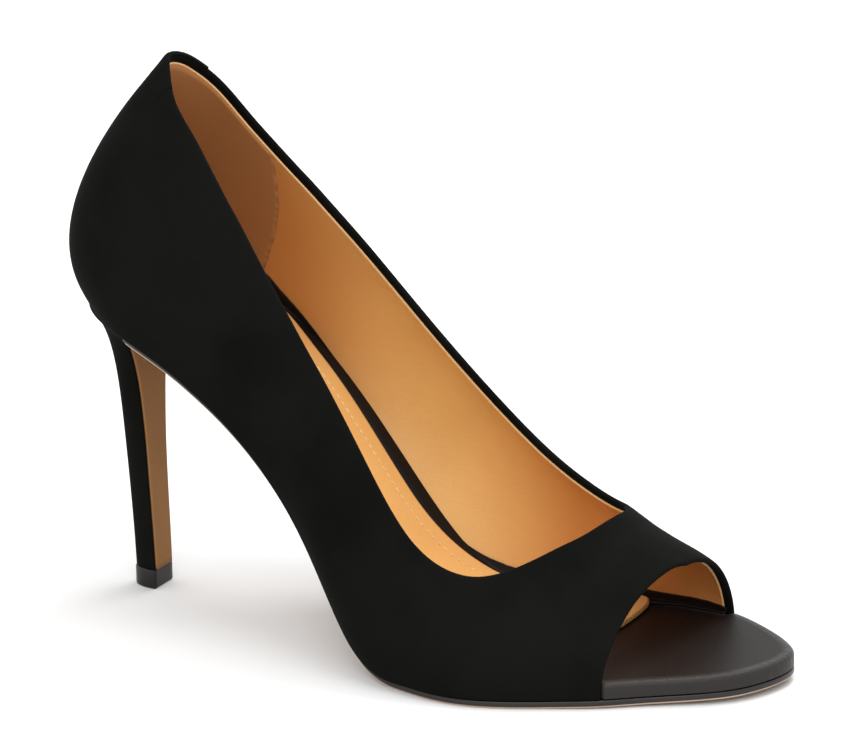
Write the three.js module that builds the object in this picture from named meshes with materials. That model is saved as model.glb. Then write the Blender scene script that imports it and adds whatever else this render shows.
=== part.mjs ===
import * as THREE from 'three';

// A peep-toe stiletto pump for the right foot, millimetres, +X to the toe, +Y to the inner side, +Z up.

// Driving dimensions of the last.
const length = 213.5;
const ballWidth = 82;
const seatWidth = 54;
const seatHeight = 83;
const collarRise = 80;
const toeSpring = 1.9;

// Thicknesses and clearances.
const wall = 2;
const gap = 0.3;
const boardClearance = 0.5;
const soleThickness = 2;
const insoleThickness = 3.2;
const platformThickness = 4.4;
const sockThickness = 1.2;
const sockMargin = 3.6;
const sockLength = 164;
const tabThickness = 0.9;
const breastThickness = 1.2;

// The heel's tip, its rubber and the place where it meets the floor.
const tipLength = 8;
const tipWidth = 9.2;
const tipHeight = 5.5;
const tipPlace = 18;
const breastPlace = 27;

// Points per piece.
const wallRows = 9;
const vampColumns = 11;
const collarColumns = 34;
const boardCells = 5;

// The line under the seat, the waist and the ball: a cubic from the seat's back edge to the floor.
const seatSlope = THREE.MathUtils.degToRad(2.3);
const seatReach = 0.384 * length;
const ballStart = 0.56 * length;
const ballReach = 0.164 * length;
const flatEnd = 0.685 * length;
const featherLift = soleThickness + gap;

// Stations round the last, from the toe tip past the outer side to the back of the seat.
// Shares of the length: at, ridgeAt. Shares of the local width: out, in, ridgeAside. Shares of
// the collar's rise: rise, flank, crown, crest. Degrees: fan, stand, slope. heel mixes in the seat's width.
const stationColumns = [
  'at', 'out', 'in', 'heel', 'fan', 'ridgeAt', 'ridgeAside',
  'rise', 'flank', 'stand', 'crown', 'slope', 'crest',
];
const stationTable = [
  [1, 0.044, 0.044, 0, -88, 0.96, 0.06, 0.105, 0.124, 84, 0.1, 3, 0],
  [0.966, -0.173, 0.199, 0, -48, 0.913, 0.055, 0.174, 0.111, 86.1, 0.123, 2.7, 0],
  [0.87, -0.342, 0.373, 0, -15, 0.856, 0.07, 0.33, 0.123, 86.2, 0.19, 0.6, 0],
  [0.795, -0.46, 0.406, 0, -3, 0.792, 0.071, 0.404, 0.166, 82.8, 0.268, 2.1, 0],
  [0.657, -0.597, 0.432, 0, 0, 0.749, 0.089, 0.452, 0.147, 73.9, 0.407, 3.1, 0],
  [0.521, -0.533, 0.387, 0, 0, 0.62, 0.065, 0.613, 0.339, 67.6, 0.516, 2.1, 0],
  [0.385, -0.452, 0.409, 0.5, 0, 0.428, 0.055, 0.786, 0.476, 65.2, 0.267, 8, 0],
  [0.221, -0.558, 0.568, 1, 5, 0.347, -0.002, 0.695, 0.274, 78.5, 0.099, 18.7, 0.091],
  [0.117, -0.49, 0.497, 1, 22, 0.254, -0.009, 0.788, 0.265, 71.7, 0.119, 37.5, 0.093],
  [0.044, -0.259, 0.267, 1, 58, 0.233, -0.007, 0.884, 0.329, 55.4, 0.296, 41.1, 0.128],
  [0.013, 0, 0, 1, 90, 0.245, -0.062, 1.009, 0.289, 56.7, 0.539, 43, 0.137],
];
const stations = stationTable.map((row) =>
  Object.fromEntries(row.map((value, k) => [stationColumns[k], value])));
const back = stations.length - 1;
const round = 2 * back;

// Edges of the upper, each point a station number and a share of the way up to the ridge.
const toplineOut = [
  [4.03, 1], [4.14, 0.81], [4.54, 0.555], [5.6, 0.536], [6.43, 0.534], [7.25, 0.621],
  [8.18, 0.767], [9.17, 0.879], [10, 0.882],
];
const toplineIn = [
  [4.03, 1], [4.08, 0.86], [4.4, 0.705], [5.43, 0.648], [6.37, 0.609], [7.2, 0.652],
  [8.04, 0.782], [8.95, 0.886], [10, 0.882],
];
const toeEdgeOut = [[2.64, 0], [2.61, 0.3], [2.48, 0.6], [2.22, 0.86], [2.01, 1]];
const toeEdgeIn = [[2.11, 0], [2.1, 0.3], [2.08, 0.6], [2.04, 0.86], [2.01, 1]];
const throatStation = 3.7;

const { lerp, clamp, smoothstep, degToRad } = THREE.MathUtils;

function cubic(p, q, r, s, f) {
  return 0.5 * (2 * q + (r - p) * f + (2 * p - 5 * q + 4 * r - s) * f * f + (3 * q - p - 3 * r + s) * f * f * f);
}

// A smooth curve through rows of numbers, which runs on straight past both ends.
function through(rows, t) {
  const last = rows.length - 1;
  const i = clamp(Math.floor(t), 0, last - 1);
  const before = i > 0 ? rows[i - 1] : rows[0].map((x, k) => 2 * x - rows[1][k]);
  const after = i < last - 1 ? rows[i + 2] : rows[last].map((x, k) => 2 * x - rows[last - 1][k]);
  return rows[i].map((x, k) => cubic(before[k], x, rows[i + 1][k], after[k], t - i));
}

function bezier(p, q, r, s, f) {
  const g = 1 - f;
  return g * g * g * p + 3 * f * g * g * q + 3 * f * f * g * r + f * f * f * s;
}

// Height of the last's underside over the floor.
function underside(x) {
  if (x <= 0) return seatHeight - x * Math.tan(seatSlope);
  if (x >= ballStart) return toeSpring * Math.max(0, (x - flatEnd) / (length - flatEnd)) ** 2;
  let low = 0;
  let high = 1;
  for (let step = 0; step < 40; step++) {
    const f = (low + high) / 2;
    const reach = bezier(0, seatReach * Math.cos(seatSlope), ballStart - ballReach, ballStart, f);
    if (reach < x) low = f;
    else high = f;
  }
  return bezier(seatHeight, seatHeight - seatReach * Math.sin(seatSlope), 0, 0, low);
}

const feather = (x) => underside(x) + featherLift;

// The stations as one closed ring of lengths and angles: outer side first, inner side on the way back.
function ringRow(k) {
  const turn = Math.floor(k / round);
  const place = k - turn * round;
  const s = stations[place <= back ? place : round - place];
  const width = lerp(ballWidth, seatWidth, s.heel);
  const side = place <= back ? s.out : s.in;
  const fan = place <= back ? s.fan : 180 - s.fan;
  const high = feather(s.at * length) + s.rise * collarRise;
  return [s.at * length, side * width, s.ridgeAt * length, s.ridgeAside * width, high,
    fan + 360 * turn, s.stand, s.slope, s.flank * collarRise, s.crown * collarRise, s.crest * collarRise];
}

// A point of the last: t is the station, v the share of the way from the feather line to the ridge.
function last(t, v) {
  const i = Math.floor(t);
  const rows = [i - 1, i, i + 1, i + 2].map(ringRow);
  const [x, y, ridgeX, ridgeY, ridgeZ, fan, stand, slope, flank, crown, crest] =
    rows[1].map((q, k) => cubic(rows[0][k], q, rows[2][k], rows[3][k], t - i));
  const away = new THREE.Vector3(-Math.sin(degToRad(fan)), -Math.cos(degToRad(fan)), 0);
  const foot = new THREE.Vector3(x, y, feather(x));
  const ridge = new THREE.Vector3(ridgeX, ridgeY, ridgeZ).addScaledVector(away, crest);
  const lower = away.clone().multiplyScalar(flank * Math.cos(degToRad(stand))).add(foot);
  lower.z += flank * Math.sin(degToRad(stand));
  const upper = away.multiplyScalar(crown * Math.cos(degToRad(slope))).add(ridge);
  upper.z -= crown * Math.sin(degToRad(slope));
  return new THREE.CubicBezierCurve3(foot, lower, upper, ridge).getPoint(v);
}

function outward(t, v) {
  const step = 0.01;
  const along = last(t + step, v).sub(last(t - step, v));
  const up = last(t, Math.min(v + step, 1)).sub(last(t, Math.max(v - step, 0)));
  return up.cross(along).normalize();
}

// A point at a depth under the last's surface; on the ridge both sides agree.
function under(t, v, depth) {
  const normal = outward(t, v);
  if (v > 0.999) normal.add(outward(round - t, v)).normalize();
  if (v < 0.001) normal.setZ(0).normalize();
  return last(t, v).addScaledVector(normal, -depth);
}

// The level direction out of the feather line, seen from above.
function sideways(t) {
  const along = last(t + 0.02, 0).sub(last(t - 0.02, 0)).setZ(0).normalize();
  return new THREE.Vector3(-along.y, along.x, 0);
}

// The feather line moved inwards, at a given height over it.
function outline(t, inset, lift) {
  const p = last(t, 0).addScaledVector(sideways(t), -inset);
  p.z = feather(p.x) + lift;
  return p;
}

// How far inside the feather line a board of a given thickness clears the lining.
function inside(t, thickness) {
  const foot = last(t, 0);
  const away = sideways(t);
  let most = wall;
  for (let v = 0; v < 0.5; v += 0.01) {
    const p = under(t, v, wall);
    if (p.z > foot.z + thickness) break;
    most = Math.max(most, foot.clone().sub(p).dot(away));
  }
  return most + boardClearance;
}

// A closed solid collected from quads and triangles; points that fall together become one.
class Solid {
  constructor() {
    this.points = [];
    this.faces = [];
    this.seen = new Map();
  }

  point(p) {
    const key = [p.x, p.y, p.z].map((x) => Math.round(x * 1000)).join(' ');
    if (!this.seen.has(key)) {
      this.seen.set(key, this.points.length);
      this.points.push(p);
    }
    return this.seen.get(key);
  }

  triangle(a, b, c) {
    const face = [a, b, c].map((p) => this.point(p));
    if (new Set(face).size === 3) this.faces.push(face);
  }

  quad(a, b, c, d) {
    this.triangle(a, b, c);
    this.triangle(a, c, d);
  }

  // Faces between neighbouring rows of points.
  sheet(rows, flipped = false) {
    for (let i = 0; i + 1 < rows.length; i++) {
      for (let j = 0; j + 1 < rows[i].length; j++) {
        const corners = [rows[i][j], rows[i][j + 1], rows[i + 1][j + 1], rows[i + 1][j]];
        this.quad(...(flipped ? corners.reverse() : corners));
      }
    }
  }

  mesh(name, colour, roughness) {
    const geometry = new THREE.BufferGeometry();
    geometry.setAttribute('position', new THREE.Float32BufferAttribute(this.points.flatMap((p) => p.toArray()), 3));
    geometry.setIndex(this.faces.flat());
    const material = new THREE.MeshStandardMaterial({ color: colour, roughness, metalness: 0 });
    const mesh = new THREE.Mesh(geometry, material);
    mesh.name = name;
    return mesh;
  }
}

// A curve of station and share, stepped evenly by its length on the last.
function evenly(points, count) {
  const fine = [];
  const steps = 200;
  for (let i = 0; i <= steps; i++) fine.push(through(points, i / steps * (points.length - 1)));
  const reach = [0];
  for (let i = 1; i <= steps; i++) {
    reach.push(reach[i - 1] + last(...fine[i]).distanceTo(last(...fine[i - 1])));
  }
  return Array.from({ length: count + 1 }, (_, n) => {
    const want = n / count * reach[steps];
    const i = clamp(reach.findIndex((r) => r >= want - 1e-9), 1, steps);
    const f = (want - reach[i - 1]) / (reach[i] - reach[i - 1]);
    return fine[i].map((x, k) => lerp(fine[i - 1][k], x, f));
  });
}

// One side's columns of the upper, toe edge to back: each a list of station and share, foot to top.
function columns(toeEdge, topline) {
  const toe = evenly(toeEdge, wallRows);
  const throatTop = topline[0][0];
  const list = [];
  for (let c = 0; c < vampColumns; c++) {
    const mix = c / vampColumns;
    list.push(toe.map(([t, v], r) => {
      const up = r / wallRows;
      return [lerp(t, lerp(throatStation, throatTop, up), mix), lerp(v, up, mix)];
    }));
  }
  evenly(topline, collarColumns).forEach(([t, v], c) => {
    const foot = lerp(throatStation, back, (c / collarColumns) ** 0.9);
    list.push(toe.map((_, r) => [lerp(foot, t, r / wallRows), v * r / wallRows]));
  });
  return list;
}

function makeUpper() {
  const outer = columns(toeEdgeOut, toplineOut);
  const inner = columns(toeEdgeIn, toplineIn).map((column) => column.map(([t, v]) => [round - t, v]));
  const all = [...outer, ...inner.reverse().slice(1)];
  const skin = all.map((column) => column.map(([t, v]) => last(t, v)));
  const lining = all.map((column) => column.map(([t, v]) => under(t, v, wall)));
  const solid = new Solid();
  solid.sheet(skin);
  solid.sheet(lining, true);
  const end = all.length - 1;
  solid.sheet([lining[0], skin[0]]);
  solid.sheet([skin[end], lining[end]]);
  solid.sheet([skin.map((c) => c[0]), lining.map((c) => c[0])]);
  const rim = (from, to) => {
    const range = Array.from({ length: to - from + 1 }, (_, i) => from + i);
    solid.sheet([range.map((i) => lining[i][wallRows]), range.map((i) => skin[i][wallRows])]);
  };
  rim(vampColumns, end - vampColumns);
  return solid.mesh('upper', 0x181816, 0.95);
}

// The suede tab laid over the counter at the back of the collar.
function makeTab() {
  const from = 8.95;
  const columnsWide = 12;
  const rows = 3;
  const drop = 0.062;
  const lay = 0.5;
  const face = (lift) => Array.from({ length: columnsWide + 1 }, (_, c) => {
    const t = lerp(from, round - from, c / columnsWide);
    const top = t < back ? toplineOut : toplineIn;
    const place = t < back ? t : round - t;
    const edge = top.findIndex((p) => p[0] >= place);
    const f = (place - top[edge - 1][0]) / (top[edge][0] - top[edge - 1][0]);
    const high = lerp(top[edge - 1][1], top[edge][1], f) - 0.004;
    const low = high - drop;
    return Array.from({ length: rows + 1 }, (_, r) => under(t, lerp(low, high, r / rows), -lift));
  });
  const near = face(lay);
  const far = face(lay + tabThickness);
  const solid = new Solid();
  const end = columnsWide;
  solid.sheet(far);
  solid.sheet(near, true);
  solid.sheet([near[0], far[0]]);
  solid.sheet([far[end], near[end]]);
  solid.sheet([far.map((c) => c[0]), near.map((c) => c[0])]);
  solid.sheet([near.map((c) => c[rows]), far.map((c) => c[rows])]);
  return solid.mesh('back_tab', 0x1e1e1c, 0.95);
}

// A flat board that follows the underside: rows across the shoe between the two sides' edges.
function board(stops, edge, bottomLift, topLift, cells) {
  const solid = new Solid();
  const rows = (lift) => stops.map((t) => {
    const a = edge(t, false);
    const b = edge(t, true);
    return Array.from({ length: cells + 1 }, (_, j) => {
      const p = a.clone().lerp(b, j / cells);
      p.z = feather(p.x) + lift(p.x);
      return p;
    });
  });
  const bottom = rows(bottomLift);
  const top = rows(topLift);
  const end = stops.length - 1;
  solid.sheet(top);
  solid.sheet(bottom, true);
  solid.sheet([top.map((r) => r[0]), bottom.map((r) => r[0])]);
  solid.sheet([bottom.map((r) => r[cells]), top.map((r) => r[cells])]);
  solid.sheet([bottom[0], top[0]]);
  solid.sheet([top[end], bottom[end]]);
  return solid;
}

const steps = (from, to, count) => Array.from({ length: count + 1 }, (_, i) => lerp(from, to, i / count));

// Stops along the boards, close where the sole bends, so that boards laid on each other stay apart.
const spine = steps(2.8, 7.8, 40);
const edgeClearance = 0.12;
const platformEnd = 0.80 * length;
const platformStart = 0.70 * length;

// Top of the insole over the feather line: thicker where it turns into the bare platform.
const boardTop = (x) => lerp(insoleThickness, platformThickness, smoothstep(x, platformStart, platformEnd));

function makeInsole() {
  const stepOut = toeEdgeOut[0][0] - edgeClearance;
  const stepIn = toeEdgeIn[0][0] - edgeClearance;
  const stops = [
    ...steps(0, 0.9, 8), ...steps(1.05, stepIn, 6), ...steps(stepIn + 0.06, stepOut, 3),
    ...steps(stepOut + 0.06, 2.7, 1), ...spine, ...steps(8, 9.2, 5), ...steps(9.4, 10, 4),
  ];
  const edge = (t, inner) => {
    const around = inner ? round - t : t;
    const bare = t <= (inner ? stepIn : stepOut) + 0.001;
    return outline(around, bare ? 0 : inside(around, platformThickness), 0);
  };
  return board(stops, edge, () => 0, boardTop, boardCells).mesh('insole', 0x2b2625, 0.45);
}

function makeSock() {
  const inset = wall + boardClearance + sockMargin;
  const noseLength = 18;
  const straight = sockLength - noseLength;
  const stops = [];
  for (let t = 2; t <= 10; t += 0.02) {
    if (outline(t, inset, 0).x <= straight) stops.push(t);
  }
  const start = stops[0];
  const nose = steps(1, 0, 8).slice(0, -1);
  const edge = (t, inner) => outline(inner ? round - t : t, inset, 0);
  const a = edge(start, false);
  const b = edge(start, true);
  const rounded = (f, inner) => {
    const mid = a.clone().lerp(b, 0.5);
    const p = mid.clone().lerp(inner ? b : a, Math.sqrt(1 - f ** 3));
    p.x = lerp(lerp(a.x, b.x, inner ? 1 : 0), sockLength, f);
    return p;
  };
  const body = [start, ...spine.filter((t) => t > start + 0.03), ...steps(8, 9.2, 5), ...steps(9.4, 10, 4)];
  const list = [...nose.map((f) => -f), ...body];
  const rim = (t, inner) => (t <= 0 && t > -1.01 ? rounded(-t, inner) : edge(t, inner));
  const lift = (x) => boardTop(x) + gap;
  const solid = board(list, rim, lift, (x) => lift(x) + sockThickness, 4);
  return solid.mesh('sock', 0xd09a52, 0.6);
}

function makeOutsole() {
  const waistInset = 1.4;
  let rear = 6;
  while (outline(rear, 0, 0).x > breastPlace + gap) rear += 0.01;
  const stops = [...steps(0, 0.9, 7), ...steps(1.05, 2.7, 10), ...spine.filter((t) => t < rear - 0.03), rear];
  const edge = (t, inner) => {
    const inset = waistInset * smoothstep(t, 3.6, 5.2);
    const p = outline(inner ? round - t : t, inset, 0);
    return p;
  };
  const under = () => -gap - soleThickness;
  return board(stops, edge, under, () => -gap, boardCells).mesh('outsole', 0x191413, 0.3);
}

// The heel, floor to seat. Share of the height: up. Millimetres: front and behind are the places of
// the flat front and of the back, half the front's width. follow is the share of the seat's outline.
const heelRows = [
  { up: 0, front: 4, behind: -3.9, half: 4.5, follow: 0 },
  { up: 0.12, front: 3.7, behind: -4.3, half: 4.7, follow: 0 },
  { up: 0.25, front: 3.3, behind: -4.9, half: 4.9, follow: 0 },
  { up: 0.38, front: 2.9, behind: -5.6, half: 5.2, follow: 0 },
  { up: 0.50, front: 2.6, behind: -6.3, half: 5.6, follow: 0 },
  { up: 0.62, front: 2.3, behind: -7.0, half: 6.4, follow: 0 },
  { up: 0.72, front: 2.0, behind: -7.8, half: 7.4, follow: 0 },
  { up: 0.80, front: 1.6, behind: -8.7, half: 8.7, follow: 0 },
  { up: 0.87, front: 1.3, behind: -9.8, half: 10.4, follow: 0.04 },
  { up: 0.92, front: 1.8, behind: -11.2, half: 12.4, follow: 0.16 },
  { up: 0.96, front: 3.2, behind: -13.4, half: 16, follow: 0.45 },
  { up: 1, front: 8, behind: -18, half: 24, follow: 1 },
];
const heelColumns = 22;
const seatInset = 0.6;

// One ring of the heel: round the back from the outer front corner to the inner one.
function heelRing(row) {
  let corner = 6;
  while (outline(corner, 0, 0).x > breastPlace) corner += 0.01;
  return steps(0, 1, heelColumns).map((f) => {
    const seat = outline(lerp(corner, round - corner, f), seatInset, -gap);
    const turn = Math.PI * f;
    const front = tipPlace + row.front;
    const deep = row.front - row.behind;
    const x = front - deep * Math.sin(turn) ** 0.9;
    const y = -row.half * Math.sign(Math.cos(turn)) * Math.abs(Math.cos(turn)) ** 0.9;
    const px = lerp(x, seat.x, row.follow);
    const py = lerp(y, seat.y, row.follow);
    const ceiling = feather(px) - gap;
    return new THREE.Vector3(px, py, lerp(tipHeight + gap, ceiling, row.up));
  });
}

function makeHeel() {
  const rings = heelRows.map(heelRing);
  const solid = new Solid();
  const half = heelColumns / 2;
  const across = (ring) => steps(0, half, half).map((i) => [ring[i], ring[heelColumns - i]]);
  solid.sheet(rings, true);
  const front = rings.map((ring) => steps(0, 1, 4).map((f) => ring[heelColumns].clone().lerp(ring[0], f)));
  front.forEach((line, r) => line.forEach((p) => {
    const ceiling = feather(p.x) - gap;
    p.z = lerp(tipHeight + gap, ceiling, heelRows[r].up);
  }));
  solid.sheet(front, true);
  const cap = (ring, line, flipped) => {
    const spans = across(ring).map(([a, b], i) => (i === 0 ? [...line].reverse() : steps(0, 1, 4).map((f) => {
      const p = a.clone().lerp(b, f);
      if (!flipped) p.z = feather(p.x) - gap;
      return p;
    })));
    solid.sheet(spans, flipped);
  };
  cap(rings[heelRows.length - 1], front[heelRows.length - 1], false);
  cap(rings[0], front[0], true);
  return solid.mesh('heel', 0x181816, 0.95);
}

// The leather strip on the heel's flat front, which sweeps forward under the seat.
function makeBreast() {
  const solid = new Solid();
  const edgeInset = 0.3;
  const rows = heelRows.filter((row) => row.up < 0.99);
  const centre = (row) => heelRing(row)[0].x;
  const line = (row, r, forward) => {
    const ring = heelRing(row);
    const a = ring[0];
    const b = ring[heelColumns];
    const next = heelRows[r + 1];
    const prev = heelRows[Math.max(r - 1, 0)];
    const rise = heelRing(next)[0].z - heelRing(prev)[0].z;
    const run = centre(next) - centre(prev);
    const slant = Math.hypot(rise, run);
    return steps(0, 1, 3).map((f) => {
      const p = a.clone().lerp(b, f);
      p.y = lerp(a.y + edgeInset, b.y - edgeInset, f);
      p.x += forward * rise / slant;
      p.z -= forward * run / slant;
      return p;
    });
  };
  const near = rows.map((row, r) => line(row, r, gap));
  const far = rows.map((row, r) => line(row, r, gap + breastThickness));
  const end = rows.length - 1;
  solid.sheet(far);
  solid.sheet(near, true);
  solid.sheet([near[0], far[0]]);
  solid.sheet([far[end], near[end]]);
  solid.sheet([far.map((l) => l[0]), near.map((l) => l[0])]);
  solid.sheet([near.map((l) => l[3]), far.map((l) => l[3])]);
  return solid.mesh('heel_breast', 0x96703f, 0.6);
}

function makeTopPiece() {
  const spread = 0.15;
  const shape = new THREE.Shape();
  const front = tipPlace + tipLength / 2 + spread;
  const half = tipWidth / 2 + spread;
  shape.moveTo(front, -half);
  shape.lineTo(front, half);
  steps(0, 1, 16).slice(1, -1).forEach((f) => {
    const turn = Math.PI * f;
    const x = front - (tipLength + 2 * spread) * Math.sin(turn) ** 0.9;
    shape.lineTo(x, half * Math.sign(Math.cos(turn)) * Math.abs(Math.cos(turn)) ** 0.9);
  });
  shape.closePath();
  const geometry = new THREE.ExtrudeGeometry(shape, { depth: tipHeight, bevelEnabled: false });
  const material = new THREE.MeshStandardMaterial({ color: 0x2a2322, roughness: 0.4, metalness: 0 });
  const mesh = new THREE.Mesh(geometry, material);
  mesh.name = 'top_piece';
  return mesh;
}

const shoe = new THREE.Group();
shoe.name = 'peep_toe_stiletto_pump';
shoe.add(makeUpper(), makeTab(), makeInsole(), makeSock(), makeOutsole(), makeHeel(), makeBreast(), makeTopPiece());

// The origin goes under the middle of the shoe's box, on the floor.
const box = new THREE.Box3().setFromObject(shoe);
const middle = box.getCenter(new THREE.Vector3());
for (const mesh of shoe.children) mesh.geometry.translate(-middle.x, -middle.y, 0);

export default shoe;
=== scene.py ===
# %% [markdown]
# # A peep-toe stiletto pump in black suede
# One right shoe, dressed over its CAD model. The CAD nodes give every place and size; the
# pieces made here carry what a stand-in lacks: folded suede edges, a leather lining with its
# cut edge, a stitched sock, a wrapped toe platform and a covered heel with a leather breast.

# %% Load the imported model
import math

import bmesh
import bpy
import numpy as np
from mathutils import Matrix, Vector


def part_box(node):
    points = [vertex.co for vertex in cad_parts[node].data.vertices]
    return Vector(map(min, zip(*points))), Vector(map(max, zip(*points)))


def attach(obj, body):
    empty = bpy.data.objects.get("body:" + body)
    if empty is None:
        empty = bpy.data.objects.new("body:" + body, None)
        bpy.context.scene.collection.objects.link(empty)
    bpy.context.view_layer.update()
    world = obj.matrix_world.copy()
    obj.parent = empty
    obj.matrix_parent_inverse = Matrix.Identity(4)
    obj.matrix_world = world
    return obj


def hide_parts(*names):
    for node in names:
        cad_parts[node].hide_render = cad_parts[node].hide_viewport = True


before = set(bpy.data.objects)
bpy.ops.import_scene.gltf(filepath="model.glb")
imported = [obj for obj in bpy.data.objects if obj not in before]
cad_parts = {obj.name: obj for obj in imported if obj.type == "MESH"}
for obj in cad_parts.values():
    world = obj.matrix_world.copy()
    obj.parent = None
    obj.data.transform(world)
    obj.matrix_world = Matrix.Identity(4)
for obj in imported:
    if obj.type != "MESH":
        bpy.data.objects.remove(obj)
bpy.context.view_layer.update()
print("nodes:", sorted(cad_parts))

# %% [markdown]
# ## The last
# A shoe is made over a last, so its surface is written once as a function: a ring of stations
# walks round the feather line (where the upper meets the sole), and from each station a curve
# climbs to the ridge of the foot. The same numbers shaped the CAD, so every piece cut from
# this surface lands on it.

# %% Named sizes in millimetres
length = 213.5
ball_width = 82
seat_width = 54
seat_height = 83
collar_rise = 80
toe_spring = 1.9
seat_slope = math.radians(2.3)
seat_reach = 0.384 * length
ball_start = 0.56 * length
ball_reach = 0.164 * length
flat_end = 0.685 * length
sole_thickness = 2.0
gap = 0.3
feather_lift = sole_thickness + gap
print("last:", length, "mm long,", ball_width, "mm at the ball")

# %% The line under the foot
bend_steps = np.linspace(0, 1, 3001)


def bezier(p, q, r, s, f):
    g = 1 - f
    return g * g * g * p + 3 * f * g * g * q + 3 * f * f * g * r + f * f * f * s


waist_x = bezier(0, seat_reach * math.cos(seat_slope), ball_start - ball_reach, ball_start, bend_steps)
waist_z = bezier(seat_height, seat_height - seat_reach * math.sin(seat_slope), 0, 0, bend_steps)


def feather(x):
    """Height of the feather line over the floor."""
    x = np.asarray(x, float)
    z = np.interp(x, waist_x, waist_z)
    z = np.where(x < 0, seat_height - x * math.tan(seat_slope), z)
    tip = toe_spring * (np.maximum(0, x - flat_end) / (length - flat_end)) ** 2
    return np.where(x >= ball_start, tip, z) + feather_lift


print("seat", round(float(feather(0)), 1), "mm, ball", round(float(feather(130)), 1), "mm")

# %% The stations, toe tip to seat, shared by both sides
stations = np.array([
    # at, out, in, heel, fan, ridge at, aside, rise, flank, stand, crown, slope, crest
    (1, 0.044, 0.044, 0, -88, 0.96, 0.06, 0.105, 0.124, 84, 0.1, 3, 0),
    (0.966, -0.173, 0.199, 0, -48, 0.913, 0.055, 0.174, 0.111, 86.1, 0.123, 2.7, 0),
    (0.87, -0.342, 0.373, 0, -15, 0.856, 0.07, 0.33, 0.123, 86.2, 0.19, 0.6, 0),
    (0.795, -0.46, 0.406, 0, -3, 0.792, 0.071, 0.404, 0.166, 82.8, 0.268, 2.1, 0),
    (0.657, -0.597, 0.432, 0, 0, 0.749, 0.089, 0.452, 0.147, 73.9, 0.407, 3.1, 0),
    (0.521, -0.533, 0.387, 0, 0, 0.62, 0.065, 0.613, 0.339, 67.6, 0.516, 2.1, 0),
    (0.385, -0.452, 0.409, 0.5, 0, 0.428, 0.055, 0.786, 0.476, 65.2, 0.267, 8, 0),
    (0.221, -0.558, 0.568, 1, 5, 0.347, -0.002, 0.695, 0.274, 78.5, 0.099, 18.7, 0.091),
    (0.117, -0.49, 0.497, 1, 22, 0.254, -0.009, 0.788, 0.265, 71.7, 0.119, 37.5, 0.093),
    (0.044, -0.259, 0.267, 1, 58, 0.233, -0.007, 0.884, 0.329, 55.4, 0.296, 41.1, 0.128),
    (0.013, 0, 0, 1, 90, 0.245, -0.062, 1.009, 0.289, 56.7, 0.539, 43, 0.137),
])
back = len(stations) - 1
turn = 2 * back


def ring_row(k):
    loop, place = divmod(k, turn)
    s = stations[place if place <= back else turn - place]
    at, out, inner, heel, fan, ridge_at, aside, rise, flank, stand, crown, slope, crest = s
    width = ball_width + (seat_width - ball_width) * heel
    side = out if place <= back else inner
    fan = fan if place <= back else 180 - fan
    high = feather(at * length) + rise * collar_rise
    return (at * length, side * width, ridge_at * length, aside * width, high, fan + 360 * loop,
            stand, slope, flank * collar_rise, crown * collar_rise, crest * collar_rise)


rows_before = 3
ring = np.array([ring_row(k) for k in range(-rows_before, turn + 5)], float)
print("ring of", turn, "stations")

# %% Smooth curves through rows of numbers
at_ridge = 0.9995
at_feather = 0.0005


def through(rows, t):
    """A curve through rows; it runs on straight past both ends."""
    rows = np.asarray(rows, float)
    t = np.asarray(t, float)
    padded = np.vstack([2 * rows[0] - rows[1], rows, 2 * rows[-1] - rows[-2]])
    i = np.clip(np.floor(t).astype(int), 0, len(rows) - 2)
    f = (t - i)[..., None]
    p, q, r, s = (padded[i + k] for k in range(4))
    return 0.5 * (2 * q + (r - p) * f + (2 * p - 5 * q + 4 * r - s) * f * f
                  + (3 * q - p - 3 * r + s) * f * f * f)


def last(t, v):
    """A point of the last: t is the station, v the share of the way up to the ridge."""
    t, v = np.broadcast_arrays(np.asarray(t, float), np.asarray(v, float))
    row = np.moveaxis(through(ring, t + rows_before), -1, 0)
    x, y, rx, ry, rz, fan, stand, slope, flank, crown, crest = row
    fan, stand, slope = np.radians(fan), np.radians(stand), np.radians(slope)
    dx, dy = -np.sin(fan), -np.cos(fan)
    foot = np.stack([x, y, feather(x)], -1)
    lower = foot + np.stack([flank * np.cos(stand) * dx, flank * np.cos(stand) * dy,
                             flank * np.sin(stand)], -1)
    ridge = np.stack([rx + crest * dx, ry + crest * dy, rz], -1)
    upper = ridge + np.stack([crown * np.cos(slope) * dx, crown * np.cos(slope) * dy,
                              -crown * np.sin(slope)], -1)
    return bezier(foot, lower, upper, ridge, v[..., None])


def unit(a):
    return a / np.maximum(np.linalg.norm(a, axis=-1, keepdims=True), 1e-9)


def slopes(t, v):
    """How the last's surface runs with t and with v."""
    step = 0.01
    along = (last(t + step, v) - last(t - step, v)) / (2 * step)
    above, below = np.minimum(v + step, 1), np.maximum(v - step, 0)
    up = (last(t, above) - last(t, below)) / (above - below)[..., None]
    return along, up


def outward(t, v):
    """The surface normal; on the ridge both sides agree."""
    t, v = np.broadcast_arrays(np.asarray(t, float), np.asarray(v, float))
    along, up = slopes(t, v)
    n = unit(np.cross(up, along))
    mirrored = np.cross(*slopes(turn - t, v)[::-1])
    n = np.where((v > at_ridge)[..., None], unit(n + unit(mirrored)), n)
    n[..., 2] = np.where(v < at_feather, 0, n[..., 2])
    return unit(n)


def under(t, v, depth):
    return last(t, v) - outward(t, v) * np.asarray(depth, float)[..., None]


print("ridge over the ball:", np.round(last(4.0, 1.0), 1))

# %% [markdown]
# ## From the last to the shared frame
# The last starts at the back of the seat. The CAD puts the origin under the middle of the
# whole shoe, so the shift between the two is read off the sole's box instead of being typed.

# %% The shift, and the outline of the feather line


def sideways(t):
    """The level direction out of the feather line."""
    along = last(t + 0.02, 0) - last(t - 0.02, 0)
    along[..., 2] = 0
    along = unit(along)
    return np.stack([-along[..., 1], along[..., 0], 0 * along[..., 0]], -1)


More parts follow.
